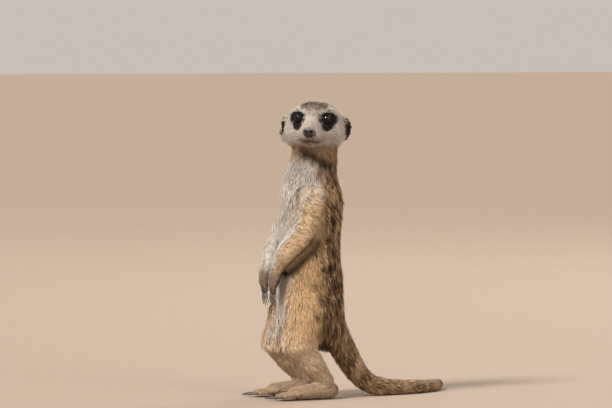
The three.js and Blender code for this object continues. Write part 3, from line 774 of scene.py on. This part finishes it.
def unwrapped(name, where):
    """A flat layout of part of the hide, as the place of each corner of its triangles."""
    picks = np.flatnonzero(where)
    used, back_to = np.unique(corner[picks], return_inverse=True)
    sheet = bpy.data.meshes.new(name)
    sheet.from_pydata([Vector(p) * MM for p in hide[used]], [], back_to.reshape(-1, 3).tolist())
    obj = bpy.data.objects.new(name, sheet)
    scene.collection.objects.link(obj)
    bpy.ops.object.select_all(action="DESELECT")
    bpy.context.view_layer.objects.active = obj
    obj.select_set(True)
    bpy.ops.object.mode_set(mode="EDIT")
    bpy.ops.mesh.select_all(action="SELECT")
    bpy.ops.uv.smart_project(angle_limit=1.15, island_margin=0.004)
    bpy.ops.object.mode_set(mode="OBJECT")
    flat = np.empty(len(sheet.loops) * 2)
    sheet.uv_layers[0].data.foreach_get("uv", flat)
    layout = np.zeros((len(corner), 3, 2))
    layout[picks] = flat.reshape(-1, 3, 2)
    bpy.data.objects.remove(obj)
    bpy.data.meshes.remove(sheet)
    return layout


# a tuft's points are 0-2 round its root, 3-5 round its middle and 6 at its tip
TUFT = np.array([[0, 1, 4], [0, 4, 3], [1, 2, 5], [1, 5, 4], [2, 0, 3], [2, 3, 5],
                 [3, 4, 6], [4, 5, 6], [5, 3, 6], [2, 1, 0]])
# its ten faces side by side in a square of the bake map, with the last as a sliver
TUFT_MAP = np.empty((10, 3, 2))
for f, side in enumerate((0, 0, 1, 1, 2, 2, 0, 1, 2)):
    for k, v in enumerate(TUFT[f]):
        u = 3 if side == 2 and v % 3 == 0 else v % 3
        TUFT_MAP[f, k] = ((side + 0.5) / 3, 1.0) if v == 6 else (u / 3, 0.0 if v < 3 else 0.5)
TUFT_MAP[9] = ((0.0, 0.02), (0.5, 0.02), (1.0, 0.0))
PATCH = 0.003  # width of that square on the map
OWN_TURN = 0.35  # how far a tuft is shaded by its own shape, and not as part of the coat
SWING = 0.10  # how far tufts turn aside at random

# guard hair: stiff, slightly glossy, each tuft three or four hairs side by side
hair_finish, tree, end = finish_of("guard_hair")
stain = node(tree, "ShaderNodeVertexColor", {"layer_name": "coat"})
surface = node(tree, "ShaderNodeBsdfPrincipled", Base_Color=stain.outputs[0], Roughness=0.62,
               Specular_IOR_Level=0.16, Sheen_Weight=0.05, Sheen_Roughness=0.5)
tree.links.new(surface.outputs[0], end.inputs[0])


def tuft_mesh(name, points):
    """One mesh of tufts, each of seven points in a row."""
    n = len(points) // 7
    corners = (TUFT[None] + (np.arange(n) * 7)[:, None, None]).reshape(-1)
    mesh = bpy.data.meshes.new(name)
    mesh.vertices.add(n * 7)
    mesh.loops.add(n * 30)
    mesh.polygons.add(n * 10)
    mesh.vertices.foreach_set("co", (points * MM).astype(np.float32).ravel())
    mesh.loops.foreach_set("vertex_index", corners.astype(np.int32))
    mesh.polygons.foreach_set("loop_start", np.arange(0, n * 30, 3, dtype=np.int32))
    mesh.polygons.foreach_set("loop_total", np.full(n * 10, 3, np.int32))
    smooth(mesh)
    mesh.update(calc_edges=True)
    return mesh


def tufts(name, where, n, slot, gather=0.18, lock=3.2, longer=1.0, rise=1.0, loose=0.0,
          run=(1, 1, 0.12), tone=None, lie_on=flow):
    """One piece of coat of n tufts over some of the hide's triangles.

    They gather into locks some mm across and are loose from the hide by some share.
    Strands of one colour are longest along the axis where run is least.
    """
    tri, bary = roots(where, n)
    root, normal = at(hide, tri, bary), unit(at(skin_normal, tri, bary))
    lay = at(lie_on, tri, bary)
    lay = lay - normal * np.sum(lay * normal, 1)[:, None]
    lay = unit(lay + 1e-6)
    swing = rng.normal(0, SWING, n)
    lay = unit(lay + unit(np.cross(normal, lay)) * swing[:, None])
    reach = at(long_hair, tri, bary) * rng.uniform(0.7, 1.2, n) * longer
    wide = (at(half_width, tri, bary) * rng.uniform(0.7, 1.3, n))[:, None]
    tall = at(stand, tri, bary) * rng.uniform(0.45, 1.0, n) * rise
    middle, mid_tri = pressed(root + lay * (reach * 0.5)[:, None], tall * 0.72)
    tip, tip_tri = pressed(root + lay * reach[:, None], tall)
    stray = rng.random(n) < 0.05  # a few hairs leave the coat
    tall = tall * np.where(stray, 1.35, 1.0)
    own = np.where(stray, np.maximum(loose, 0.75), loose)[:, None]
    free = root + lay * (reach * 0.94)[:, None] + normal * tall[:, None]
    tip += (free - tip) * own
    middle += (root + lay * (reach * 0.5)[:, None] + normal * (tall * 0.8)[:, None] - middle) * own

    # neighbours lean together into locks, and form longer strands of one colour
    centres = rng.choice(n, max(1, int(area[where].sum() / lock ** 2)), replace=False)
    lock_tree = tree_of(root[centres])
    mine = np.array([lock_tree.find(p)[1] for p in root])
    lock_shade = rng.normal(0, 1, len(centres))[mine]
    seeds = rng.choice(n, max(1, n // 11), replace=False)
    narrow = np.array(run)
    strand_tree = tree_of(root[seeds] * narrow)
    strand = np.array([strand_tree.find(p)[1] for p in root * narrow])
    pull = (gather * rng.uniform(0.5, 1.3, n))[:, None]
    heart = centres[mine]
    to_heart = root - root[heart]
    pull = pull * (np.linalg.norm(to_heart, axis=1) < lock * 1.3)[:, None]
    tip = tip + (tip[heart] + to_heart * 0.25 - tip) * pull
    middle = middle + (middle[heart] + to_heart * 0.8 - middle) * pull * 0.35
    stretch = np.linalg.norm(tip - root, axis=1) / reach
    tip = np.where((stretch > 1.25)[:, None], root + (tip - root) * (1.1 / stretch)[:, None], tip)
    tip[:, 2] = np.maximum(tip[:, 2], 0.3)
    middle[:, 2] = np.maximum(middle[:, 2], 0.3)

    # three points round the root, three round the middle and one at the tip
    first, second = unit(middle - root), unit(tip - middle)
    side = unit(np.cross(normal, first))
    up_first, up_second = np.cross(first, side), np.cross(second, side)
    base = root - normal * 0.35
    rings = [base - side * wide * 0.75, base + side * wide * 0.75, base + up_first * wide * 0.9,
             middle - side * wide, middle + side * wide, middle + up_second * wide * 0.85, tip]
    mesh = tuft_mesh(name, np.stack(rings, 1).reshape(-1, 3))

    # some hairs are dark and some pale, more so where grizzled, and all are darker at the root
    hue = np.stack([over(colour, t) for t in (tri, mid_tri, tip_tri)], 1)
    if tone is not None:
        hue = hue * 0 + linear(tone)
    g = over(grizzle, mid_tri)
    draw = 0.25 * rng.random(n) + 0.75 * rng.random(len(seeds))[strand]
    dark_hair, pale_hair = draw < 0.20 + 0.26 * g, draw > 0.80 - 0.20 * g
    mixed = g[:, None, None]
    hue = np.where(dark_hair[:, None, None], hue + (linear("#190d06") - hue) * 0.92 * mixed, hue)
    hue = np.where(pale_hair[:, None, None], hue + (linear("#dcbd94") - hue) * 0.60 * mixed, hue)
    vary = 1 + (0.05 + 0.08 * g) * rng.normal(0, 1, n) + (0.04 + 0.10 * g) * lock_shade
    hue = hue * vary[:, None, None].clip(0.4, 1.5)
    short = fall(at(long_hair, tri, bary), 2.5, 5)
    root_tone, tip_tone = 0.72 - 0.25 * g + 0.16 * short, 1.06 + 0.10 * g
    tones = np.stack([root_tone] * 3 + [np.ones(n)] * 3 + [tip_tone], 1)
    tints = 0.78 * hue[:, [0, 0, 0, 1, 1, 1, 2]] * tones[:, :, None]
    add_colour(mesh, "coat", tints.reshape(-1, 3).clip(0.001, 0.9))

    # the coat is shaded as one soft surface, with each tuft's own turn showing a little
    coat_out = unit(at(soft_normal, tri, bary))[:, None, :]
    facing = normals_of(mesh).reshape(n, 7, 3) * OWN_TURN + coat_out * (1 - OWN_TURN)
    mesh.normals_split_custom_set_from_vertices(unit(facing.reshape(-1, 3)))
    # on the bake map each tuft's patch is round its root's place on the flat hide
    home = np.einsum("ij,ijk->ik", bary, unwrapped(name + "_layout", where)[tri])
    flat = np.clip(home[:, None, None, :] + (TUFT_MAP[None] - 0.5) * PATCH, 0.0005, 0.9995)
    layer = mesh.uv_layers.new(name="OFBake")
    layer.data.foreach_set("uv", flat.astype(np.float32).ravel())
    mesh.materials.append(hair_finish)
    coat = bpy.data.objects.new(name, mesh)
    scene.collection.objects.link(coat)
    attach(coat, "root")


# the triangles of each piece
main_kind = over(np.stack([weight[k] for k in KINDS], 1)).argmax(1)
on = {k: main_kind == i for i, k in enumerate(KINDS)}
tri_round, tri_ahead = over(round_body), -over(face[:, 1])
front, spine, left = tri_round < 48, tri_round > 100, over(leftward) > 0
on_sides = ~front & ~spine
whole_trunk = on["trunk"] | on["thigh"]
arm = on["upper_arm"] | on["forearm"]
at_muzzle, at_nape = tri_ahead > 14, tri_ahead <= -6
ALL_WAYS = (1, 1, 1)  # strands as long one way as another
ALONG_ARM = (1, 0.2, 1)
tufts("coat_muzzle", on["head"] & at_muzzle, 16000, "coat_face", run=ALL_WAYS, gather=0.15, lock=2.0)
tufts("coat_cheeks", on["head"] & ~at_muzzle & ~at_nape, 12000, "coat_face", run=ALL_WAYS, lock=2.6,
      longer=1.25, rise=1.3)
tufts("coat_nape", on["head"] & at_nape, 8000, "coat_face", run=ALL_WAYS, lock=3.0)
tufts("coat_ears", on["ear"], 4500, "coat_ear", gather=0.1, lock=2.0)

# long pale hairs that grow in front of each ear and lie loosely across it
tri_aside = over(np.abs(face[:, 0]))
before_ear = (on["head"] & (over(height) > 238) & (tri_aside > 17) & (tri_aside < 24.5)
              & (tri_ahead > -8) & (tri_ahead < 8))
across_ear = np.column_stack([np.sign(face[:, 0]) * 0.85, np.full(len(face), 0.42),
                              np.full(len(face), -0.12)]) @ HEAD_AXES.T
veil = dict(slot="coat_face", gather=0.3, lock=2.5, tone="#cfc6ba", rise=1.6, run=ALL_WAYS,
            lie_on=across_ear)
tri_leftward = over(face[:, 0])
tufts("coat_ear_veil_left", before_ear & (tri_leftward > 0), 900, longer=1.5, loose=0.55, **veil)
tufts("coat_ear_veil_right", before_ear & (tri_leftward < 0), 2400, longer=1.8, loose=0.6, **veil)

tufts("coat_neck", on["neck"], 11000, "coat_neck")
tufts("coat_belly", whole_trunk & front, 13000, "coat_pale")
tufts("coat_flank_left", whole_trunk & on_sides & left, 8000, "coat_flank")
tufts("coat_flank_right", whole_trunk & on_sides & ~left, 8000, "coat_flank")
tufts("coat_back", whole_trunk & spine, 19500, "coat_back")
tufts("coat_arm_left", arm & left, 8500, "coat_flank", run=ALONG_ARM)
tufts("coat_arm_right", arm & ~left, 8500, "coat_flank", run=ALONG_ARM)
tufts("coat_hands", on["hand"], 4500, "coat_hand", gather=0.1, lock=2.5)
tufts("coat_feet", on["foot"], 8000, "coat_hand", gather=0.1, lock=2.5)
tufts("coat_shanks", on["shank"], 8500, "coat_flank")
tufts("coat_tail", on["tail_base"] | on["tail_middle"], 8500, "coat_flank")
tufts("coat_tail_tip", on["tail_tip"], 3500, "coat_tail_end")

# ---------------------------------------------------------------- Whiskers
# Long springy hairs from the sides of the muzzle and two above each eye, each a
# thin closed spike bent in an even curve, all one piece.
whisker_mesh = bpy.data.meshes.new("whiskers")
spikes = bmesh.new()
STEPS = 7  # pieces that a whisker's curve is built from
ROUND = (0, 2.0944, 4.1888)  # three points round it, in radians
for s in (1, -1):
    for row in range(8):
        if row < 6:
            line, place = divmod(row, 3)
            start = np.array([s * (7.4 + 0.25 * place), -36.5 + 2.2 * place, -6.2 - 1.6 * line])
            way = np.array([s * 0.86, 0.26 + 0.10 * place, 0.10 - 0.16 * line])
            length, bend = rng.uniform(24, 38), 1.0
        else:
            start = np.array([s * (10 + 3.5 * (row - 6)), -19.0, 15.2])
            way = np.array([s * 0.5, -0.1, 0.85])
            length, bend = rng.uniform(10, 15), 0.35
        rings = []
        for k in range(STEPS + 1):
            t = k / STEPS
            spot = start + way * length * t + np.array([0, 6.0, -7.0]) * t * t * bend
            radius = 0.13 * (1 - t) ** 0.7 + 0.01
            ring = [from_head(spot + radius * np.array([0, np.cos(q), np.sin(q)])) for q in ROUND]
            rings.append([spikes.verts.new(Vector(p) * MM) for p in ring])
        for low_ring, high_ring in zip(rings, rings[1:]):
            for q in range(3):
                r = (q + 1) % 3
                spikes.faces.new((low_ring[q], low_ring[r], high_ring[r], high_ring[q]))
        spikes.faces.new(rings[0][::-1])
        spikes.faces.new(rings[-1])
bmesh.ops.recalc_face_normals(spikes, faces=spikes.faces)
spikes.to_mesh(whisker_mesh)
spikes.free()

# whisker: one stiff hair, smooth and a little glossy
whisker_finish, tree, end = finish_of("whisker")
surface = node(tree, "ShaderNodeBsdfPrincipled", Base_Color=(*linear("#6f6156"), 1), Roughness=0.4)
tree.links.new(surface.outputs[0], end.inputs[0])
whisker_mesh.materials.append(whisker_finish)
whiskers = bpy.data.objects.new("whiskers", whisker_mesh)
scene.collection.objects.link(whiskers)
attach(whiskers, "root")

# ---------------------------------------------------------------- Floor and light
# A wide pale plaster floor in a pale room, with a soft sun from high on the
# camera's left, a fill lamp on its right and a rim lamp behind the animal.
slab = bpy.data.meshes.new("floor")
slab.from_pydata([(-30, -30, 0), (30, -30, 0), (30, 30, 0), (-30, 30, 0)], [], [(0, 1, 2, 3)])
floor = bpy.data.objects.new("floor", slab)
scene.collection.objects.link(floor)
# plaster: matt, with faint clouds about 17 mm across
floor_finish, tree, end = finish_of("matt_plaster")
clouds = mottling(tree, 60.0, 4.0, "#a08d7d", "#a89686")
surface = node(tree, "ShaderNodeBsdfPrincipled", Base_Color=clouds, Roughness=0.9)
tree.links.new(surface.outputs[0], end.inputs[0])
slab.materials.append(floor_finish)

room = bpy.data.worlds.new("room")
room.use_nodes = True
sky = room.node_tree.nodes["Background"]
sky.inputs["Color"].default_value = (*linear("#d8cdc3"), 1)
sky.inputs["Strength"].default_value = 0.85
scene.world = room


def lamp(light, way):
    """Places a light some metres from the middle of the view, turned towards it."""
    made = bpy.data.objects.new(light.name, light)
    made.location = AIM + way
    made.rotation_euler = way.to_track_quat("Z", "Y").to_euler()
    scene.collection.objects.link(made)


right = Vector((np.cos(AZIMUTH), np.sin(AZIMUTH), 0))
toward = Vector((np.sin(AZIMUTH), -np.cos(AZIMUTH), 0))
key = bpy.data.lights.new("key", "SUN")
key.energy = 4.1
key.angle = 0.23
key.color = (1.0, 0.98, 0.95)
lamp(key, -right * 2.1 + toward * 2.5 + Vector((0, 0, 2.8)))
fill = bpy.data.lights.new("fill", "AREA")
fill.energy = 60
fill.size = 2.0
fill.color = (1.0, 0.98, 0.96)
lamp(fill, right * 2.4 + toward * 3.2 + Vector((0, 0, 1.2)))
rim = bpy.data.lights.new("rim", "AREA")
rim.energy = 36
rim.size = 1.5
rim.color = (0.96, 0.98, 1.0)
lamp(rim, right * 1.6 - toward * 2.4 + Vector((0, 0, 2.0)))
